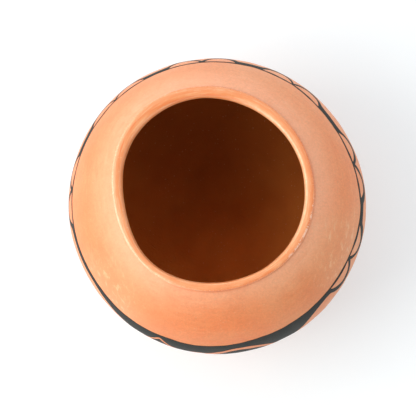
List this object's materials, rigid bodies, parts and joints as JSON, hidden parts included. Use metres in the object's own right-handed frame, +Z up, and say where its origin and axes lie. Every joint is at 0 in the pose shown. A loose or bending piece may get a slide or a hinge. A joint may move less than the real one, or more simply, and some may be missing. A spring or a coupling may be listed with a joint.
{
  "type": "coil-built pottery bowl",
  "caption": "Round-bellied hand-coiled micaceous clay bowl with a flat foot, inward-curving shoulder, wide open mouth and flat-topped lip, for serving or storing food.",
  "frame": {"origin": "middle of the flat foot, on the surface that the bowl stands on", "axes": "+Z up through the mouth; -Y is the side nearest the viewer and +X is the viewer's right"},
  "size_m": [0.1702, 0.1696, 0.108],
  "materials": {
    "base_clay": "matte unglazed fired clay",
    "wall_clay": "stone-burnished unglazed micaceous clay, satin",
    "lip_clay": "rubbed unglazed fired clay"
  },
  "bodies": {
    "root": {"base_pat": "base_clay", "wall_coil_1": "wall_clay", "wall_coil_2": "wall_clay", "wall_coil_3": "wall_clay", "wall_coil_4": "wall_clay", "wall_coil_5": "wall_clay", "wall_coil_6": "wall_clay", "wall_coil_7": "wall_clay", "wall_coil_8": "wall_clay", "rim_coil": "lip_clay"}
  },
  "joints": []
}
